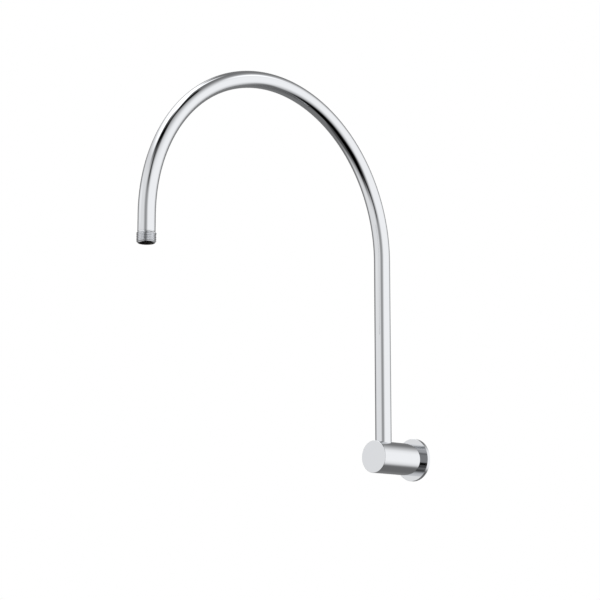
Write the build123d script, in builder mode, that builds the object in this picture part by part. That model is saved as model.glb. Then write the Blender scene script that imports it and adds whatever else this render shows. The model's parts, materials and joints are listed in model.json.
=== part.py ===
"""Wall-mounted gooseneck shower arm.

The origin is on the wall, at the centre of the flange's back face. The arm stands out from the wall
towards -Y and +Z is up, so the whole bend lies in the plane X = 0. All sizes are in millimetres.
"""

import os
from math import pi

from build123d import *

# Bent tube
TUBE_OD = 19.0
TUBE_WALL = 1.0
BEND_RADIUS = 181.5  # centre line of the half-circle bend
RISER_STANDOFF = 53.5  # wall to the axis of the rising tube
RISER_HEIGHT = 232.0  # axis of the wall body up to the centre of the bend
LEG_LENGTH = 19.0  # straight tube below the centre of the bend, on the outlet side
SOCKET_DEPTH = 10.0  # tube let into the crown of the wall body

# Wall body
BODY_D = 37.5
BODY_NOSE = 17.0  # body in front of the riser's axis
FRONT_EDGE = 0.6  # rounding of the front rim
REAR_GAP = 1.0  # back end of the body to the wall
REAR_STEP = 2.5  # step down to the spigot that carries the flange
WATERWAY_D = 15.0

# Wall flange
FLANGE_D = 50.0
FLANGE_T = 4.0
FLANGE_EDGE = 0.4  # rounding of the front rim
FLANGE_LEAD = 0.4  # chamfers that ease the flange over its seal

# Pipe thread G 1/2, the same at the wall and at the outlet
THREAD_D = 20.955
THREAD_DEPTH = 1.162
THREAD_CHAMFER = 1.2  # at the inlet
RELIEF_CUT = 0.17  # thread relief below the thread's root

# Outlet nipple
OUTLET_THREAD_L = 11.3
OUTLET_NECK_L = 1.0
OUTLET_CHAMFER = 1.7  # lead at the free end of the outlet thread
NIPPLE_SPIGOT_L = 9.0
NIPPLE_WALL = 1.2
THREAD_START = 0.7  # chamfer above the outlet thread
BORE_BREAK = 1.0  # countersink at the outlet's mouth
MOUTH_LAND = 0.08  # least part of the outlet's wall left flat between its two chamfers

# Wall connector
INLET_THREAD_L = 15.0
CONNECTOR_D = 22.0
CONNECTOR_INSERT = 29.0  # spigot length inside the body
CONNECTOR_LEAD = 1.0
INLET_BORE_D = 11.5
KEY_ACROSS_FLATS = 12.0  # hexagon that takes the key for the connector
KEY_DEPTH = 10.0
SEAL_SETBACK = 3.5  # connector's tip to the first groove
SEAL_PITCH = 4.5
SEAL_CORD = 2.4
END_GAP = 0.5  # connector's tip to the floor of its bore
BORE_LEAD = 0.8  # chamfer at the mouth of the connector's bore

# Flange seal
FLANGE_SEAL_CORD = 1.0

# Seal grooves
SEAL_SQUEEZE = 0.2  # part of the cord's thickness taken up by the fit
GROOVE_WIDTH_RATIO = 1.2  # groove width to the width of the pressed seal

# Grub screw
GRUB_D = 5.0
GRUB_SETBACK = 12.0  # wall to the screw's axis
GRUB_RECESS = 0.5  # screw below the crown of the body
GRUB_POINT = 1.0
GRUB_KEY = 2.5
GRUB_KEY_DEPTH = 2.5
LOCK_GROOVE_DEPTH = 1.0
LOCK_GROOVE_ROOM = 1.0  # groove wider than the screw

# Clearances
BRAZE_GAP = 0.05  # radial, tube in its socket and nipple in the tube
SLIDE_GAP = 0.1  # radial, connector in the body
FLANGE_GAP = 0.15  # radial, flange on the spigot
SCREW_GAP = 0.05  # radial, grub screw in its hole, and below its point
SEAL_GAP = 0.02  # on each side of a seal

# Sizes that follow from those above
tube_r = TUBE_OD / 2
tube_bore_r = tube_r - TUBE_WALL
socket_r = tube_r + BRAZE_GAP
body_r = BODY_D / 2
body_reach = RISER_STANDOFF + BODY_NOSE
spigot_r = body_r - REAR_STEP
waterway_r = WATERWAY_D / 2
thread_r = THREAD_D / 2
relief_r = thread_r - THREAD_DEPTH - RELIEF_CUT
nipple_spigot_r = tube_bore_r - BRAZE_GAP
nipple_bore_r = nipple_spigot_r - NIPPLE_WALL
outlet_wall = thread_r - nipple_bore_r
mouth_share = min(1, (1 - MOUTH_LAND) * outlet_wall / (OUTLET_CHAMFER + BORE_BREAK))
connector_r = CONNECTOR_D / 2
connector_bore_r = connector_r + SLIDE_GAP
connector_tip = REAR_GAP + CONNECTOR_INSERT
lock_groove_r = connector_r - LOCK_GROOVE_DEPTH
flange_bore_r = spigot_r + FLANGE_GAP

# Places that follow from those above
seat_z = body_r - SOCKET_DEPTH
outlet_y = -(RISER_STANDOFF + 2 * BEND_RADIUS)
leg_end_z = RISER_HEIGHT - LEG_LENGTH
thread_top_z = leg_end_z - OUTLET_NECK_L
outlet_z = thread_top_z - OUTLET_THREAD_L
flange_seal_y = -(REAR_GAP + FLANGE_T) / 2
front_seal_y = -connector_tip + SEAL_SETBACK
rear_seal_y = front_seal_y + SEAL_PITCH

# Axes and planes of the two turned ends
wall_axis = Axis.Y
wall_section = Plane.XY  # radius along X, distance from the wall along Y
outlet_axis = Axis((0, outlet_y, 0), (0, 0, 1))
outlet_section = Plane.XZ.offset(-outlet_y)  # radius along X, height along Z


def seal_room(cord):
    """Radial room that a seal of this cord is pressed into, from its groove's floor to the bore."""
    return cord * (1 - SEAL_SQUEEZE)


def pressed_size(cord):
    """Width and height of a pressed seal, as large in section as its round cord."""
    height = seal_room(cord) - 2 * SEAL_GAP
    width = height + pi / 4 * (cord**2 - height**2) / height
    return width, height


def turn_groove(outer_r, depth, width, at_y):
    """Cut a square groove into a piece turned about the wall axis."""
    with BuildSketch(wall_section) as groove:
        with Locations((outer_r, at_y)):
            Rectangle(2 * depth, width)
    revolve(groove.sketch, axis=wall_axis, mode=Mode.SUBTRACT)


def turn_seal_groove(outer_r, cord, fit_gap, at_y):
    """Cut the groove of a seal that presses against a bore with this radial gap."""
    pressed_width, pressed_height = pressed_size(cord)
    turn_groove(outer_r, seal_room(cord) - fit_gap, GROOVE_WIDTH_RATIO * pressed_width, at_y)


def seal_ring(cord, bore_r, at_y):
    """An O-ring as it sits in its groove, pressed flat by the bore."""
    width, height = pressed_size(cord)
    with BuildPart() as ring:
        with BuildSketch(wall_section):
            with Locations((bore_r - seal_room(cord) / 2, at_y)):
                SlotOverall(width, height, rotation=90)
        revolve(axis=wall_axis)
    return ring.part


# Gooseneck tube: riser from its seat in the body, half-circle bend, short outlet leg
with BuildPart() as gooseneck_tube:
    with BuildLine(Plane.YZ) as tube_path:
        riser = Line((-RISER_STANDOFF, seat_z), (-RISER_STANDOFF, RISER_HEIGHT))
        bend = JernArc(start=riser @ 1, tangent=riser % 1, radius=BEND_RADIUS, arc_size=180)
        Line(bend @ 1, (outlet_y, leg_end_z))
    with BuildSketch(Plane.XY.offset(seat_z)):
        with Locations((0, -RISER_STANDOFF)):
            Circle(tube_r)
            Circle(tube_bore_r, mode=Mode.SUBTRACT)
    sweep(path=tube_path.line)

# Outlet nipple: spigot in the tube's end, relieved neck and male thread at its full diameter
with BuildPart() as outlet_nipple:
    with BuildSketch(outlet_section):
        with BuildLine():
            Polyline(
                (nipple_bore_r, leg_end_z + NIPPLE_SPIGOT_L),
                (nipple_spigot_r, leg_end_z + NIPPLE_SPIGOT_L),
                (nipple_spigot_r, leg_end_z),
                (relief_r, leg_end_z),
                (relief_r, thread_top_z),
                (thread_r, thread_top_z),
                (thread_r, outlet_z),
                (nipple_bore_r, outlet_z),
                close=True,
            )
        make_face()
    revolve(axis=outlet_axis)
    rims = outlet_nipple.edges().filter_by(GeomType.CIRCLE)
    thread_rims = rims.group_by(SortBy.RADIUS)[-1].sort_by(Axis.Z)
    bore_rim = rims.group_by(SortBy.RADIUS)[0].sort_by(Axis.Z)[0]
    chamfer(thread_rims[0], mouth_share * OUTLET_CHAMFER)
    chamfer(thread_rims[-1], THREAD_START)
    chamfer(bore_rim, mouth_share * BORE_BREAK)

# Wall body: turned outside, blind bore for the connector, waterway up into the tube's socket
with BuildPart() as wall_body:
    with BuildSketch(wall_section):
        with BuildLine():
            Polyline(
                (0, -body_reach),
                (body_r, -body_reach),
                (body_r, -FLANGE_T),
                (spigot_r, -FLANGE_T),
                (spigot_r, -REAR_GAP),
                (0, -REAR_GAP),
                close=True,
            )
        make_face()
    revolve(axis=wall_axis)
    front_rim = wall_body.edges().filter_by(GeomType.CIRCLE).sort_by(Axis.Y)[0]
    fillet(front_rim, FRONT_EDGE)
    turn_seal_groove(spigot_r, FLANGE_SEAL_CORD, FLANGE_GAP, flange_seal_y)
    with Locations(Plane((0, -REAR_GAP, 0), z_dir=(0, 1, 0))):
        CounterBoreHole(
            radius=waterway_r,
            counter_bore_radius=connector_bore_r,
            counter_bore_depth=CONNECTOR_INSERT + END_GAP,
            depth=RISER_STANDOFF + waterway_r - REAR_GAP,
        )
    with Locations(Plane((0, -RISER_STANDOFF, body_r), z_dir=(0, 0, 1))):
        CounterBoreHole(
            radius=waterway_r,
            counter_bore_radius=socket_r,
            counter_bore_depth=SOCKET_DEPTH,
            depth=body_r,
        )
    with Locations(Plane((0, -GRUB_SETBACK, body_r), z_dir=(0, 0, 1))):
        Hole(GRUB_D / 2 + SCREW_GAP, depth=body_r - lock_groove_r)
    rear_rims = wall_body.faces().sort_by(Axis.Y)[-1].edges().sort_by(SortBy.RADIUS)
    chamfer(rear_rims[0], BORE_LEAD)
    chamfer(rear_rims[-1], FLANGE_LEAD)

# Wall flange: flat plate against the wall, its bore on the body's spigot
with BuildPart() as wall_flange:
    with BuildSketch(Plane.XZ):
        Circle(FLANGE_D / 2)
        Circle(flange_bore_r, mode=Mode.SUBTRACT)
    extrude(amount=FLANGE_T)
    front_rims = wall_flange.faces().sort_by(Axis.Y)[0].edges().sort_by(SortBy.RADIUS)
    chamfer(front_rims[0], FLANGE_LEAD)
    fillet(front_rims[-1], FLANGE_EDGE)

# Wall connector: thread for the wall elbow, sealed spigot for the body, hexagon for a key
with BuildPart() as wall_connector:
    with BuildSketch(wall_section):
        with BuildLine():
            Polyline(
                (0, -connector_tip),
                (connector_r, -connector_tip),
                (connector_r, -REAR_GAP),
                (thread_r, -REAR_GAP),
                (thread_r, INLET_THREAD_L),
                (0, INLET_THREAD_L),
                close=True,
            )
        make_face()
    revolve(axis=wall_axis)
    connector_rims = wall_connector.edges().filter_by(GeomType.CIRCLE).sort_by(Axis.Y)
    chamfer(connector_rims[0], CONNECTOR_LEAD)
    chamfer(connector_rims[-1], THREAD_CHAMFER)
    for seal_y in (front_seal_y, rear_seal_y):
        turn_seal_groove(connector_r, SEAL_CORD, SLIDE_GAP, seal_y)
    turn_groove(connector_r, LOCK_GROOVE_DEPTH, GRUB_D + LOCK_GROOVE_ROOM, -GRUB_SETBACK)
    with BuildSketch(Plane.XZ.offset(-INLET_THREAD_L)):
        Circle(INLET_BORE_D / 2)
    extrude(amount=INLET_THREAD_L + connector_tip, mode=Mode.SUBTRACT)
    with BuildSketch(Plane.XZ.offset(connector_tip - KEY_DEPTH)):
        RegularPolygon(KEY_ACROSS_FLATS / 2, 6, major_radius=False)
    extrude(amount=KEY_DEPTH, mode=Mode.SUBTRACT)

# Grub screw: from just under the crown of the body down to the connector's lock groove
grub_top_z = body_r - GRUB_RECESS
grub_point_z = lock_groove_r + SCREW_GAP
with BuildPart() as grub_screw:
    with BuildSketch(Plane.XY.offset(grub_point_z)):
        with Locations((0, -GRUB_SETBACK)):
            Circle(GRUB_D / 2)
    extrude(amount=grub_top_z - grub_point_z)
    grub_rims = grub_screw.edges().filter_by(GeomType.CIRCLE).sort_by(Axis.Z)
    chamfer(grub_rims[0], GRUB_POINT)
    with BuildSketch(Plane.XY.offset(grub_top_z - GRUB_KEY_DEPTH)):
        with Locations((0, -GRUB_SETBACK)):
            RegularPolygon(GRUB_KEY / 2, 6, major_radius=False)
    extrude(amount=GRUB_KEY_DEPTH, mode=Mode.SUBTRACT)

# One named file for each piece
pieces = {
    "gooseneck_tube": gooseneck_tube.part,
    "outlet_nipple": outlet_nipple.part,
    "wall_body": wall_body.part,
    "wall_flange": wall_flange.part,
    "wall_connector": wall_connector.part,
    "grub_screw": grub_screw.part,
    "flange_o_ring": seal_ring(FLANGE_SEAL_CORD, flange_bore_r, flange_seal_y),
    "connector_o_ring_front": seal_ring(SEAL_CORD, connector_bore_r, front_seal_y),
    "connector_o_ring_rear": seal_ring(SEAL_CORD, connector_bore_r, rear_seal_y),
}
os.makedirs("parts", exist_ok=True)
for name, piece in pieces.items():
    piece.label = name
    export_step(piece, f"parts/{name}.step")
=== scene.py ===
"""Looks of a wall-mounted gooseneck shower arm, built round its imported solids.

Metres, in the frame of the solids: the wall is the plane Y = 0, the arm stands out towards -Y and +Z is up.
"""

import json
import math

import bmesh
import bpy
import numpy as np
from mathutils import Matrix, Vector


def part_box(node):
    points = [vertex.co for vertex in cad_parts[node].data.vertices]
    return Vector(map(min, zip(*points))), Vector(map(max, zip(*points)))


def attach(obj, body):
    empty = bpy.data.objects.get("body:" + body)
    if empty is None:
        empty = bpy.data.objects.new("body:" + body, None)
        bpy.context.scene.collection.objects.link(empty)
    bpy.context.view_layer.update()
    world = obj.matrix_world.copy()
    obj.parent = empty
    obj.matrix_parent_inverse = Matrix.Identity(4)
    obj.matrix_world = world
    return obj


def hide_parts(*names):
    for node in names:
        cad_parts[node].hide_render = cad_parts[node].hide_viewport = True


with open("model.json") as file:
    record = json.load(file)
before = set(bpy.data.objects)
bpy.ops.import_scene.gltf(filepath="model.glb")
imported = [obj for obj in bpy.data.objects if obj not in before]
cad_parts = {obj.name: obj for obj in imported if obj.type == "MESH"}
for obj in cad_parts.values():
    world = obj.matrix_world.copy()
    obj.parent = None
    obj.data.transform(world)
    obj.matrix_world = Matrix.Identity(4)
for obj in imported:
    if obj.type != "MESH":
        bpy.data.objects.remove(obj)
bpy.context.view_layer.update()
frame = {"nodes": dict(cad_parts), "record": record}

MM = 0.001

# Bent tube
TUBE_WALL = 1.0 * MM
BEND_RADIUS = 181.5 * MM
RISER_HEIGHT = 232.0 * MM
TUBE_LIP = 0.15 * MM  # rounding of the tube's ends
LIP_STEPS = 4
TUBE_SEGMENTS = 128
BEND_STEPS = 91  # odd, so that no ring stands at the very top
STRAIGHT_STEP = 12.0 * MM  # most room between two rings on the riser

# Pipe thread G 1/2, Whitworth form
THREAD_PITCH = 1.814 * MM
THREAD_DEPTH = 1.162 * MM
THREAD_ROUND = 0.249 * MM  # radius of crests and roots
FLANK_ANGLE = math.radians(27.5)
CREST_CUT = 0.02 * MM  # crests just below the nominal diameter
RELIEF_CUT = 0.17 * MM  # neck below the thread's root
THREAD_CHAMFER = 1.2 * MM  # at the inlet
THREAD_START = 0.7 * MM  # chamfer at the outlet thread's shoulder
THREAD_PHASE = 0.2  # turn of the helix, in parts of a full turn
THREAD_LAND = 0.8 * MM  # plain end of the thread at its shoulder
RUN_OUT = 0.6 * MM  # rise of the helix over which the groove fades
ROWS_PER_PITCH = 24
TURNED_SEGMENTS = 144

# Outlet nipple
NIPPLE_SPIGOT_L = 9.0 * MM
OUTLET_NECK_L = 1.0 * MM
OUTLET_CHAMFER = 1.7 * MM
NIPPLE_WALL = 1.2 * MM
BRAZE_GAP = 0.05 * MM
BORE_BREAK = 1.0 * MM

# Wall connector
REAR_GAP = 1.0 * MM
CONNECTOR_LEAD = 1.0 * MM
INLET_BORE_R = 5.75 * MM
KEY_ACROSS_FLATS = 12.0 * MM
KEY_DEPTH = 10.0 * MM
SEAL_ROOM = 1.92 * MM
SLIDE_GAP = 0.1 * MM
GROOVE_WIDTH_RATIO = 1.2
LOCK_GROOVE_DEPTH = 1.0 * MM
LOCK_GROOVE_ROOM = 1.0 * MM

# Surfaces
SHARP_ANGLE = math.radians(38)  # edges that turn more than this stay sharp
FACE, BORE = 0, 1  # places in a piece's list of materials
NOISE_LOW, NOISE_HIGH = 0.3, 0.7  # between these lie most values of a noise texture

# Camera, at the photograph's angle
CAMERA_AZIMUTH = 45.2
CAMERA_ELEVATION = -10.15
CAMERA_DISTANCE = 2.1
AIM_RIGHT = -0.1353
AIM_UP = 0.19
LENS_MM = 106.3
SENSOR_MM = 36.0

# Studio: screens, lamps and dark flags round the arm, each laid over the ones before it, in a dim room.
# An elevation past 90 puts that edge beyond the zenith, and one past -90 beyond the nadir.
# Name, azimuths, elevations and softness of the edges in degrees, brightness against white
ROOM_LEVEL = 0.25
STUDIO = [
    ("dark floor", (-75, 190), (-120, -52), 15, 0.1),
    ("left screen", (-75, 40), (-45, 50), 18, 1.08),
    ("left screen, leaning over at the top", (-120, -65), (32, 60), 12, 0.95),
    ("lamp on the left screen", (-60, -30), (12, 26), 8, 1.25),
    ("right screen", (50, 172), (-38, 44), 26, 1.32),
    ("dark bench behind", (150, 210), (-75, -32), 9, 0.2),
    ("overhead screen", (-120, 0), (50, 120), 13, 2.0),
    ("overhead screen, past the zenith", (-180, 60), (73, 120), 6, 1.8),
    ("lamp behind", (130, 148), (33, 45), 6, 1.7),
    ("slot at the camera", (20, 52), (-30, 40), 13, 0.43),
    ("camera and its stand", (33, 43), (-60, -12), 4, 0.0),
    ("foot of that stand", (25, 46), (-50, -26), 7, 0.05),
    ("flag above the camera", (8, 66), (43, 67), 10, 0.0),
    ("stem of that flag", (31, 50), (27, 48), 6, 0.08),
    ("flag high at the right", (55, 110), (59, 77), 5, 0.0),
    ("flag below the camera", (-8, 75), (-89, -33), 15, 0.0),
    ("flag below, right", (60, 155), (-95, -51), 9, 0.0),
]
PLAIN_LEVEL = 0.7  # light on matt surfaces, from all round
WHITE = 1.0

# Key lamp: one soft lamp high up at the left, which throws the arm's shadow on the floor
KEY_AZIMUTH = -40
KEY_ELEVATION = 78
KEY_LEVEL = 0.3  # its light on a matt surface that faces up
KEY_SPREAD = 2.5  # degrees across

# Floor
FLOOR_Z = -1.95
FLOOR_SIZE = 60.0

# Places that follow from the frame
tube_lo, tube_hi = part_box("gooseneck_tube")
nipple_lo, nipple_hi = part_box("outlet_nipple")
connector_lo, connector_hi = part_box("wall_connector")
grub_lo, grub_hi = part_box("grub_screw")
mounts = {mount["name"]: mount for mount in frame["record"]["mounts"]}
outlet_y = mounts["outlet_thread"]["pos_m"][1]
thread_r = mounts["outlet_thread"]["dims"]["r_mm"] * MM
tube_r = tube_hi.x
tube_bore_r = tube_r - TUBE_WALL
bend_y = outlet_y + BEND_RADIUS
foot_z = tube_lo.z
leg_end_z = nipple_hi.z - NIPPLE_SPIGOT_L
riser_length = RISER_HEIGHT - foot_z
bend_length = math.pi * BEND_RADIUS
tube_length = riser_length + bend_length + RISER_HEIGHT - leg_end_z


def direction(azimuth, elevation):
    """Unit vector towards a place round the arm; azimuth 0 is in front, at -Y, and 90 is at +X."""
    a, e = math.radians(azimuth), math.radians(elevation)
    return Vector((math.sin(a) * math.cos(e), -math.cos(a) * math.cos(e), math.sin(e)))


# Mesh builders


def along_tube(s):
    """Centre of the tube at path length s from its foot, and the direction away from the bend's centre."""
    if s <= riser_length:
        return Vector((0, bend_y + BEND_RADIUS, foot_z + s)), Vector((0, 1, 0))
    turn = min((s - riser_length) / BEND_RADIUS, math.pi)
    out = Vector((0, math.cos(turn), math.sin(turn)))
    centre = Vector((0, bend_y, RISER_HEIGHT)) + BEND_RADIUS * out
    centre.z -= max(0.0, s - riser_length - bend_length)
    return centre, out


def along_outlet(z):
    """Centre and side of the outlet's axis at height z."""
    return Vector((0, outlet_y, z)), Vector((0, 1, 0))


def along_wall_axis(y):
    """Centre and side of the wall axis at distance y behind the wall's face."""
    return Vector((0, y, 0)), Vector((0, 0, 1))


def ring_angles(segments):
    """Angles of points spread evenly round a ring."""
    return np.arange(segments) * (2 * math.pi / segments)


def shell(name, place, loop, segments, materials):
    """Closed mesh of rings round a path: loop holds (path place, radius or radii, material index)."""
    angles = ring_angles(segments)
    side = Vector((1, 0, 0))
    points = []
    for s, radius, _ in loop:
        centre, out = place(s)
        ring = np.outer(np.cos(angles) * radius, side) + np.outer(np.sin(angles) * radius, out)
        points.append(ring + np.array(centre))
    count = len(loop)
    faces = []
    for k in range(count):
        here, there = k * segments, (k + 1) % count * segments
        for i in range(segments):
            j = (i + 1) % segments
            faces.append((here + i, here + j, there + j, there + i))
    mesh = bpy.data.meshes.new(name)
    mesh.from_pydata(np.concatenate(points).tolist(), [], faces)
    mesh.polygons.foreach_set("material_index", np.repeat([item[2] for item in loop], segments))
    return finished(name, mesh, materials)


def finished(name, mesh, materials):
    """Object of a closed mesh, with outward faces, smooth but for its sharp edges."""
    work = bmesh.new()
    work.from_mesh(mesh)
    bmesh.ops.recalc_face_normals(work, faces=work.faces)
    work.to_mesh(mesh)
    work.free()
    mesh.shade_smooth()
    mesh.set_sharp_from_angle(angle=SHARP_ANGLE)
    for material in materials:
        mesh.materials.append(material)
    piece = bpy.data.objects.new(name, mesh)
    bpy.context.scene.collection.objects.link(piece)
    return piece


def lip(place, radius, start, end):
    """Points of a rounded tube end in a (place, radius) section, between two angles in degrees."""
    turns = [math.radians(start + (end - start) * k / LIP_STEPS) for k in range(LIP_STEPS + 1)]
    return [(place + TUBE_LIP * math.cos(t), radius + TUBE_LIP * math.sin(t)) for t in turns]


def groove(outer_r, depth, middle, width):
    """Section of a square groove in a turned piece."""
    floor_r = outer_r - depth
    start, end = middle - width / 2, middle + width / 2
    return [(start, outer_r), (start, floor_r), (end, floor_r), (end, outer_r)]


def hexagon(across_flats, segments):
    """Radii of a hexagon seen from its centre, at evenly spread angles."""
    half_side = math.pi / 6
    from_flat = (ring_angles(segments) + half_side) % (2 * half_side) - half_side
    return across_flats / 2 / np.cos(from_flat)


def whitworth_drop(offset):
    """Depth below the crest at a distance from the crest's middle along the axis."""
    away = np.abs(offset)
    arc_reach = THREAD_ROUND * math.cos(FLANK_ANGLE)
    arc_drop = THREAD_ROUND * (1 - math.sin(FLANK_ANGLE))
    crest = THREAD_ROUND - np.sqrt(np.maximum(THREAD_ROUND**2 - away**2, 0))
    flank = arc_drop + (away - arc_reach) / math.tan(FLANK_ANGLE)
    to_root = np.maximum(THREAD_PITCH / 2 - away, 0)
    root = THREAD_DEPTH - THREAD_ROUND + np.sqrt(np.maximum(THREAD_ROUND**2 - to_root**2, 0))
    return np.where(away < arc_reach, crest, np.where(to_root < arc_reach, root, flank))


def thread_rows(free, shoulder, free_chamfer, shoulder_chamfer, segments):
    """Rings of a helical thread from its free end to its shoulder, where the groove runs out."""
    turn = np.arange(segments) / segments
    inward = 1 if shoulder > free else -1
    steps = math.ceil(abs(shoulder - free) / THREAD_PITCH * ROWS_PER_PITCH)
    rows = []
    for k in range(steps + 1):
        s = free + (shoulder - free) * k / steps
        from_root = ((s / THREAD_PITCH - turn + THREAD_PHASE) % 1.0 - 0.5) * THREAD_PITCH
        to_shoulder = (shoulder - s + from_root) * inward
        depth = np.clip((to_shoulder - THREAD_LAND) / RUN_OUT, 0, 1)
        drop = whitworth_drop(THREAD_PITCH / 2 - np.abs(from_root))
        limit = thread_r - max(0.0, free_chamfer - abs(s - free), shoulder_chamfer - abs(s - shoulder))
        rows.append((s, np.minimum(thread_r - CREST_CUT - depth * drop, limit)))
    return rows


# Materials


def node_material(name):
    """New material with its node tree, shader and object coordinates."""
    material = bpy.data.materials.new(name)
    material.use_nodes = True
    tree = material.node_tree
    shader = tree.nodes["Principled BSDF"]
    coords = tree.nodes.new("ShaderNodeTexCoord").outputs["Object"]
    return material, tree, shader, coords


def of_type(sockets, kind):
    """Sockets of one type, in their order on the node."""
    return [socket for socket in sockets if socket.type == kind]


def noise(tree, vector, scale, detail=3.0):
    """Noise texture's value over a vector."""
    node = tree.nodes.new("ShaderNodeTexNoise")
    node.inputs["Scale"].default_value = scale
    node.inputs["Detail"].default_value = detail
    tree.links.new(vector, node.inputs["Vector"])
    return node.outputs["Fac"]


def spread(tree, value, low, high):
    """Value from a noise's middle range, stretched between two levels."""
    node = tree.nodes.new("ShaderNodeMapRange")
    node.inputs["From Min"].default_value = NOISE_LOW
    node.inputs["From Max"].default_value = NOISE_HIGH
    node.inputs["To Min"].default_value = low
    node.inputs["To Max"].default_value = high
    tree.links.new(value, node.inputs["Value"])
    return node.outputs["Result"]


def two_tone(tree, value, dark, light):
    """Colour that goes from one tone to another with a value."""
    node = tree.nodes.new("ShaderNodeMix")
    node.data_type = "RGBA"
    for socket, tone in zip(of_type(node.inputs, "RGBA"), (dark, light)):
        socket.default_value = (*tone, 1)
    tree.links.new(value, node.inputs["Factor"])
    return of_type(node.outputs, "RGBA")[0]


def bump(tree, shader, height, strength, distance):
    """Fine relief on a shader's surface."""
    node = tree.nodes.new("ShaderNodeBump")
    node.inputs["Strength"].default_value = strength
    node.inputs["Distance"].default_value = distance
    tree.links.new(height, node.inputs["Height"])
    tree.links.new(node.outputs["Normal"], shader.inputs["Normal"])


def chrome():
    """Polished chrome plate: a clear mirror with a trace of haze and buffing."""
    material, tree, shader, coords = node_material("polished_chrome")
    shader.inputs["Metallic"].default_value = 1.0
    haze = noise(tree, coords, scale=60.0)
    tone = two_tone(tree, haze, dark=(0.634, 0.645, 0.664), light=(0.644, 0.655, 0.674))
    tree.links.new(tone, shader.inputs["Base Color"])
    grain = noise(tree, coords, scale=900.0, detail=2.0)
    tree.links.new(spread(tree, grain, low=0.01, high=0.02), shader.inputs["Roughness"])
    ripple = noise(tree, coords, scale=30.0, detail=1.0)
    bump(tree, shader, ripple, strength=0.02, distance=0.05 * MM)
    return material


def bore_painted_shade():
    """Inside of the waterway: dull, unpolished drawn metal whose near-black colour is painted shade of the
    deep bore.
    """
    material, tree, shader, coords = node_material("bore_painted_shade")
    shader.inputs["Metallic"].default_value = 1.0
    streaks = noise(tree, coords, scale=350.0)
    # Painted shade: these near-black tones stand in for the shadow deep in the bore; the metal itself is
    # not this dark.
    tone = two_tone(tree, streaks, dark=(0.07, 0.068, 0.062), light=(0.12, 0.116, 0.105))
    tree.links.new(tone, shader.inputs["Base Color"])
    tree.links.new(spread(tree, streaks, low=0.35, high=0.55), shader.inputs["Roughness"])
    bump(tree, shader, streaks, strength=0.2, distance=0.1 * MM)
    return material


def brass():
    """Bare turned brass with tool marks round its axis and a little tarnish."""
    material, tree, shader, coords = node_material("turned_brass")
    shader.inputs["Metallic"].default_value = 1.0
    tarnish = noise(tree, coords, scale=140.0)
    tone = two_tone(tree, tarnish, dark=(0.66, 0.48, 0.22), light=(0.84, 0.66, 0.36))
    tree.links.new(tone, shader.inputs["Base Color"])
    tree.links.new(spread(tree, tarnish, low=0.2, high=0.36), shader.inputs["Roughness"])
    marks = tree.nodes.new("ShaderNodeTexWave")
    marks.bands_direction = "Y"
    marks.inputs["Scale"].default_value = 900.0
    marks.inputs["Distortion"].default_value = 1.5
    tree.links.new(coords, marks.inputs["Vector"])
    bump(tree, shader, marks.outputs["Fac"], strength=0.12, distance=0.04 * MM)
    return material


def steel():
    """Stainless set screw, lightly blasted."""
    material, tree, shader, coords = node_material("set_screw_steel")
    shader.inputs["Metallic"].default_value = 1.0
    grain = noise(tree, coords, scale=1500.0)
    tone = two_tone(tree, grain, dark=(0.46, 0.46, 0.48), light=(0.60, 0.60, 0.62))
    tree.links.new(tone, shader.inputs["Base Color"])
    tree.links.new(spread(tree, grain, low=0.28, high=0.42), shader.inputs["Roughness"])
    bump(tree, shader, grain, strength=0.15, distance=0.03 * MM)
    return material


def rubber():
    """Black nitrile seal with a matt moulded skin."""
    material, tree, shader, coords = node_material("black_nitrile")
    grain = noise(tree, coords, scale=1800.0)
    tone = two_tone(tree, grain, dark=(0.022, 0.022, 0.024), light=(0.042, 0.042, 0.044))
    tree.links.new(tone, shader.inputs["Base Color"])
    tree.links.new(spread(tree, grain, low=0.5, high=0.7), shader.inputs["Roughness"])
    bump(tree, shader, grain, strength=0.2, distance=0.03 * MM)
    return material


def floor_paint():
    """Plain pale studio floor."""
    material, tree, shader, coords = node_material("pale_floor")
    shader.inputs["Roughness"].default_value = 0.8
    clouds = noise(tree, coords, scale=1.5)
    tone = two_tone(tree, clouds, dark=(0.86, 0.86, 0.86), light=(0.90, 0.90, 0.90))
    tree.links.new(tone, shader.inputs["Base Color"])
    return material


# Pieces


def gooseneck(plate, inside):
    """Bent tube with rounded ends: riser, half-circle bend and outlet leg."""
    foot, end = TUBE_LIP, tube_length - TUBE_LIP
    riser_steps = math.ceil(riser_length / STRAIGHT_STEP)
    stations = [foot + (riser_length - foot) * k / riser_steps for k in range(1, riser_steps)]
    stations += [riser_length + bend_length * k / BEND_STEPS for k in range(BEND_STEPS + 1)]
    stations += [(riser_length + bend_length + end) / 2]
    wall_side = tube_r - TUBE_LIP
    bore_side = tube_bore_r + TUBE_LIP
    loop = [(s, tube_r, FACE) for s in stations]
    loop += [(s, r, FACE) for s, r in lip(end, wall_side, 90, 0) + lip(end, bore_side, 0, -90)]
    loop += [(s, tube_bore_r, BORE) for s in reversed(stations)]
    loop += [(s, r, FACE) for s, r in lip(foot, bore_side, 270, 180) + lip(foot, wall_side, 180, 90)]
    return shell("gooseneck_tube_plated", along_tube, loop, TUBE_SEGMENTS, [plate, inside])


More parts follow.
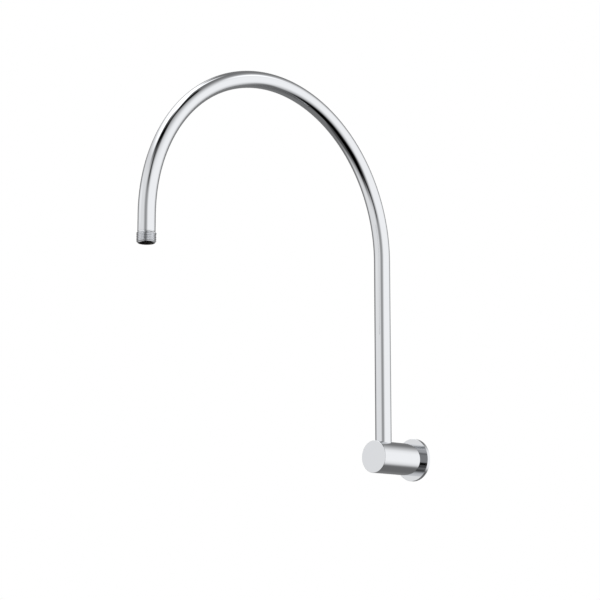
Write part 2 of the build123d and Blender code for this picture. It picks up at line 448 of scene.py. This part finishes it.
def outlet(plate, inside):
    """Outlet nipple with its helical thread, relieved neck and bore."""
    root_r = thread_r - THREAD_DEPTH
    neck_r = root_r - RELIEF_CUT
    spigot_r = tube_bore_r - BRAZE_GAP
    bore_r = spigot_r - NIPPLE_WALL
    bottom, top = nipple_lo.z, leg_end_z - OUTLET_NECK_L
    rows = thread_rows(bottom, top, OUTLET_CHAMFER, THREAD_START, TURNED_SEGMENTS)
    # The mouth's chamfer and the flat end ring take the bore's material: painted shade, a dark ring round
    # the opening.
    loop = [(bottom + BORE_BREAK, bore_r, BORE), (bottom, bore_r + BORE_BREAK, BORE)]
    loop += [(s, radii, FACE) for s, radii in rows]
    loop += [(top, neck_r, FACE), (leg_end_z, neck_r, FACE), (leg_end_z, spigot_r, FACE)]
    loop += [(nipple_hi.z, spigot_r, FACE), (nipple_hi.z, bore_r, BORE)]
    return shell("outlet_nipple_threaded", along_outlet, loop, TURNED_SEGMENTS, [plate, inside])


def connector(metal):
    """Wall connector: sealed spigot with its grooves, key hexagon and the thread for the wall elbow."""
    spigot_r = connector_hi.x
    tip, back = connector_lo.y, connector_hi.y
    key = hexagon(KEY_ACROSS_FLATS, TURNED_SEGMENTS)
    loop = [(tip, key), (tip, spigot_r - CONNECTOR_LEAD), (tip + CONNECTOR_LEAD, spigot_r)]
    for seal in ("connector_o_ring_front", "connector_o_ring_rear"):
        seal_lo, seal_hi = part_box(seal)
        width = GROOVE_WIDTH_RATIO * (seal_hi.y - seal_lo.y)
        loop += groove(spigot_r, SEAL_ROOM - SLIDE_GAP, (seal_lo.y + seal_hi.y) / 2, width)
    width = grub_hi.x - grub_lo.x + LOCK_GROOVE_ROOM
    loop += groove(spigot_r, LOCK_GROOVE_DEPTH, (grub_lo.y + grub_hi.y) / 2, width)
    loop += [(-REAR_GAP, spigot_r)]
    loop += reversed(thread_rows(back, -REAR_GAP, THREAD_CHAMFER, 0.0, TURNED_SEGMENTS))
    loop += [(back, INLET_BORE_R), (tip + KEY_DEPTH, INLET_BORE_R), (tip + KEY_DEPTH, key)]
    rings = [(s, radius, FACE) for s, radius in loop]
    return shell("wall_connector_threaded", along_wall_axis, rings, TURNED_SEGMENTS, [metal])


# Studio


def feed(tree, socket, value):
    """Give a socket its value, which is a number or another socket."""
    if isinstance(value, (int, float)):
        socket.default_value = value
    else:
        tree.links.new(value, socket)


def maths(tree, operation, *values):
    """Result of a maths node."""
    node = tree.nodes.new("ShaderNodeMath")
    node.operation = operation
    for socket, value in zip(node.inputs, values):
        feed(tree, socket, value)
    return node.outputs["Value"]


def blend(tree, factor, under, over, label=""):
    """Level that goes from one to another by a factor."""
    node = tree.nodes.new("ShaderNodeMix")
    node.data_type = "FLOAT"
    node.label = label
    for socket, value in zip(of_type(node.inputs, "VALUE"), (factor, under, over)):
        feed(tree, socket, value)
    return of_type(node.outputs, "VALUE")[0]


def within(tree, angle, span, soft):
    """One inside a span of angles in degrees and zero outside it, with a soft edge."""
    start, end = span
    half = (end - start) / 2
    off = maths(tree, "SUBTRACT", angle, math.radians((start + end) / 2))
    off = maths(tree, "ABSOLUTE", maths(tree, "WRAP", off, math.pi, -math.pi))
    mask = tree.nodes.new("ShaderNodeMapRange")
    mask.interpolation_type = "SMOOTHSTEP"
    mask.inputs["From Min"].default_value = math.radians(half - soft)
    mask.inputs["From Max"].default_value = math.radians(half + soft)
    mask.inputs["To Min"].default_value = 1.0
    mask.inputs["To Max"].default_value = 0.0
    tree.links.new(off, mask.inputs["Value"])
    return mask.outputs["Result"]


def studio_world():
    """White backdrop for the camera, a plain level for matt surfaces and the panels for metal to mirror."""
    world = bpy.data.worlds.new("studio")
    world.use_nodes = True
    tree = world.node_tree
    looking = tree.nodes.new("ShaderNodeSeparateXYZ")
    coords = tree.nodes.new("ShaderNodeTexCoord")
    tree.links.new(coords.outputs["Generated"], looking.inputs["Vector"])
    ahead = maths(tree, "MULTIPLY", looking.outputs["Y"], -1.0)
    azimuth = maths(tree, "ARCTAN2", looking.outputs["X"], ahead)
    elevation = maths(tree, "ARCSINE", looking.outputs["Z"])
    room = ROOM_LEVEL
    for label, azimuths, elevations, soft, level in STUDIO:
        across = within(tree, azimuth, azimuths, soft)
        upright = within(tree, elevation, elevations, soft)
        room = blend(tree, maths(tree, "MULTIPLY", across, upright), room, level, label)
    path = tree.nodes.new("ShaderNodeLightPath")
    mirrored = maths(tree, "MAXIMUM", path.outputs["Is Glossy Ray"], path.outputs["Is Transmission Ray"])
    seen = blend(tree, mirrored, PLAIN_LEVEL, room)
    seen = blend(tree, path.outputs["Is Camera Ray"], seen, WHITE)
    background = tree.nodes["Background"]
    tree.links.new(seen, background.inputs["Color"])
    background.inputs["Strength"].default_value = 1.0
    bpy.context.scene.world = world


def studio_floor():
    """Wide pale floor, far below the arm as in a bathroom."""
    mesh = bpy.data.meshes.new("floor")
    half = FLOOR_SIZE / 2
    corners = [(-half, -half), (half, -half), (half, half), (-half, half)]
    mesh.from_pydata([(x, y, FLOOR_Z) for x, y in corners], [], [(0, 1, 2, 3)])
    mesh.materials.append(floor_paint())
    floor = bpy.data.objects.new("floor", mesh)
    bpy.context.scene.collection.objects.link(floor)
    floor.visible_glossy = False


def key_lamp():
    """Soft lamp for the matt pieces and the floor; the metal mirrors the studio instead."""
    towards = direction(KEY_AZIMUTH, KEY_ELEVATION)
    light = bpy.data.lights.new("key_lamp", "SUN")
    light.energy = KEY_LEVEL * math.pi / towards.z
    light.angle = math.radians(KEY_SPREAD)
    lamp = bpy.data.objects.new("key_lamp", light)
    lamp.rotation_euler = towards.to_track_quat("Z", "Y").to_euler()
    lamp.visible_glossy = False
    bpy.context.scene.collection.objects.link(lamp)


def camera():
    """Camera below the arm's middle, looking up at it from the front right."""
    back = direction(CAMERA_AZIMUTH, CAMERA_ELEVATION)
    right = (-back).cross(Vector((0, 0, 1))).normalized()
    up = right.cross(-back)
    lens = bpy.data.cameras.new("camera")
    lens.lens = LENS_MM
    lens.sensor_width = SENSOR_MM
    viewer = bpy.data.objects.new("camera", lens)
    place = right * AIM_RIGHT + up * AIM_UP + back * CAMERA_DISTANCE
    viewer.matrix_world = Matrix.Translation(place) @ Matrix((right, up, back)).transposed().to_4x4()
    bpy.context.scene.collection.objects.link(viewer)
    bpy.context.scene.camera = viewer


# The arm
finishes = {"chrome": chrome(), "brass": brass(), "steel": steel(), "rubber": rubber()}
for row in frame["record"]["subparts"]:
    node = frame["nodes"][row["node"]]
    node.data.materials.clear()
    node.data.materials.append(finishes[row["material_slot"]])

# Material of the bores, whose dark colour is painted shade.
inside = bore_painted_shade()
dressed = {
    "gooseneck_tube": (gooseneck(finishes["chrome"], inside), "chrome"),
    "outlet_nipple": (outlet(finishes["chrome"], inside), "chrome"),
    "wall_connector": (connector(finishes["brass"]), "brass"),
}
for node_name, (piece, slot_name) in dressed.items():
    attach(piece, "root")
    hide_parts(node_name)

# The studio
studio_world()
studio_floor()
key_lamp()
camera()
bpy.context.scene.view_settings.view_transform = "Standard"
